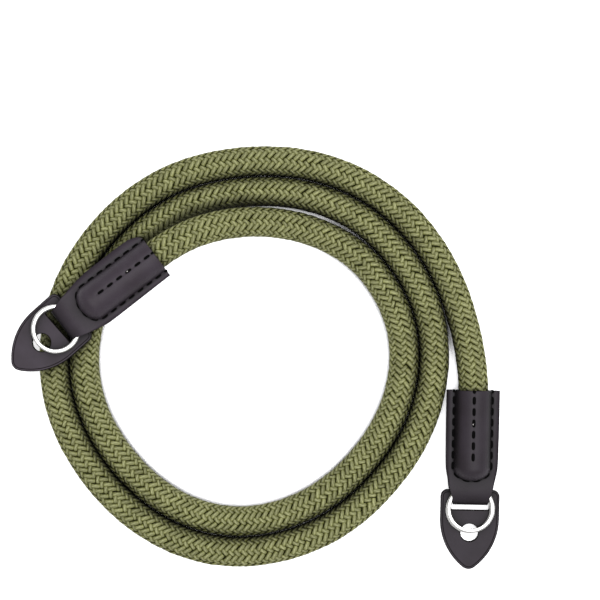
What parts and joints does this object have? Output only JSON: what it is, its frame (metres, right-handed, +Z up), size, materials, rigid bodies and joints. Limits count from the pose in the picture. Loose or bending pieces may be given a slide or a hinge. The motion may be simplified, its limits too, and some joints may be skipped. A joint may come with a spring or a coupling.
{
  "type": "camera neck strap",
  "caption": "Coiled braided rope neck strap for a camera, with sewn leather ends, split rings and pointed leather guards.",
  "frame": {"origin": "middle of the whole coiled strap's outline, on the table that it lies on", "axes": "+Z up from the table, +X from the leather end on the coil to the leather end beside it, the latter pointing along -Y"},
  "size_m": [0.164, 0.1428, 0.0229],
  "materials": {
    "braided_rope": "matt braided polyester sheath",
    "leather": "smooth matt dark brown",
    "ring_steel": "polished"
  },
  "bodies": {
    "root": {"rope": "braided_rope", "leather_end_left": "leather", "leather_end_right": "leather", "split_ring_left": "ring_steel", "split_ring_right": "ring_steel", "leather_guard_left": "leather", "leather_guard_right": "leather"}
  },
  "joints": []
}
